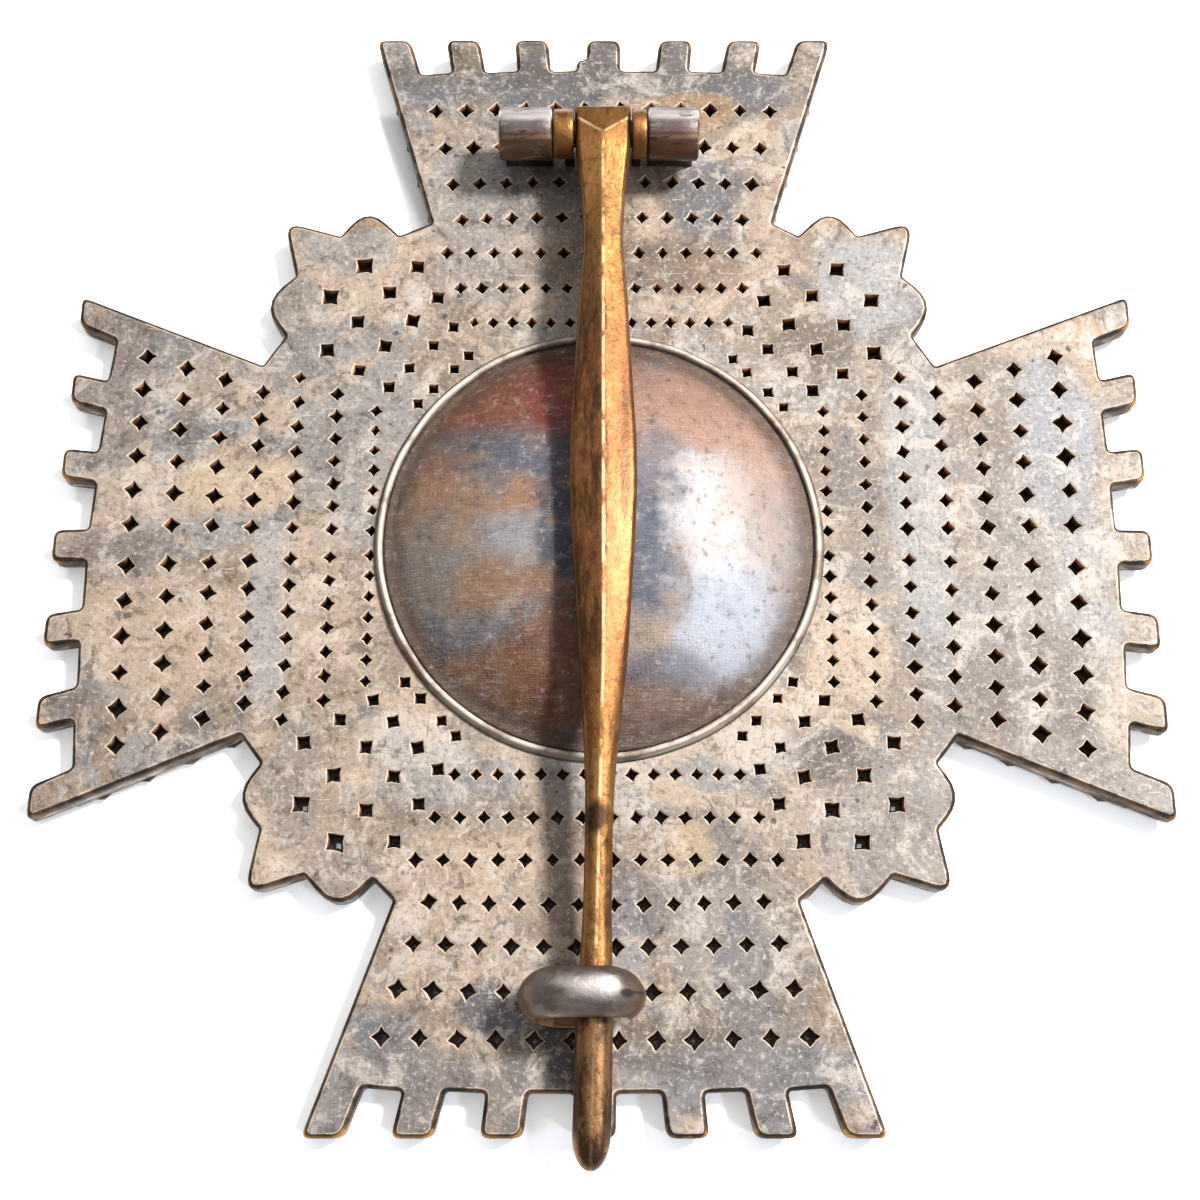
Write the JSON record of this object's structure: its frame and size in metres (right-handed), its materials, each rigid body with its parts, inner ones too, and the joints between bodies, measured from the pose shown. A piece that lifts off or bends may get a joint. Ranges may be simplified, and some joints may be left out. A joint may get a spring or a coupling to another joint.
{
  "type": "breast star",
  "caption": "Pierced cross-shaped breast star of silver, lying on its face, with a domed back plate, a hinged fastening pin and an open hook catch.",
  "frame": {"origin": "centre of the plain front disc, on the surface that the star lies on", "axes": "+Z out of the back, away from the surface; +Y towards the arm that carries the hinge; +X to the right when the back is seen with the hinge at the top"},
  "size_m": [0.0849, 0.0906, 0.0102],
  "materials": {
    "star_silver": "worn satin silver with warm and blue-grey tarnish",
    "rim_silver": "rubbed bright silver",
    "dome_metal": "silver toned red-brown and blue-grey",
    "fitting_silver": "worn polished silver",
    "gilt_metal": "worn gilding with brown streaks"
  },
  "bodies": {
    "star": {"star_plate": "star_silver", "rim_ring": "rim_silver", "back_dome": "dome_metal", "hinge_tube_left": "fitting_silver", "hinge_tube_right": "fitting_silver", "hinge_collar_left": "gilt_metal", "hinge_collar_right": "gilt_metal", "hinge_rod": "fitting_silver", "catch": "fitting_silver"},
    "pin": {"pin": "gilt_metal"}
  },
  "joints": [
    {"name": "pin_swing", "type": "hinge", "parent": "star", "child": "pin", "pos_m": [0.00033, 0.0331, 0.007], "axis": [-1, 0, 0], "range_deg": [0, 120]}
  ]
}
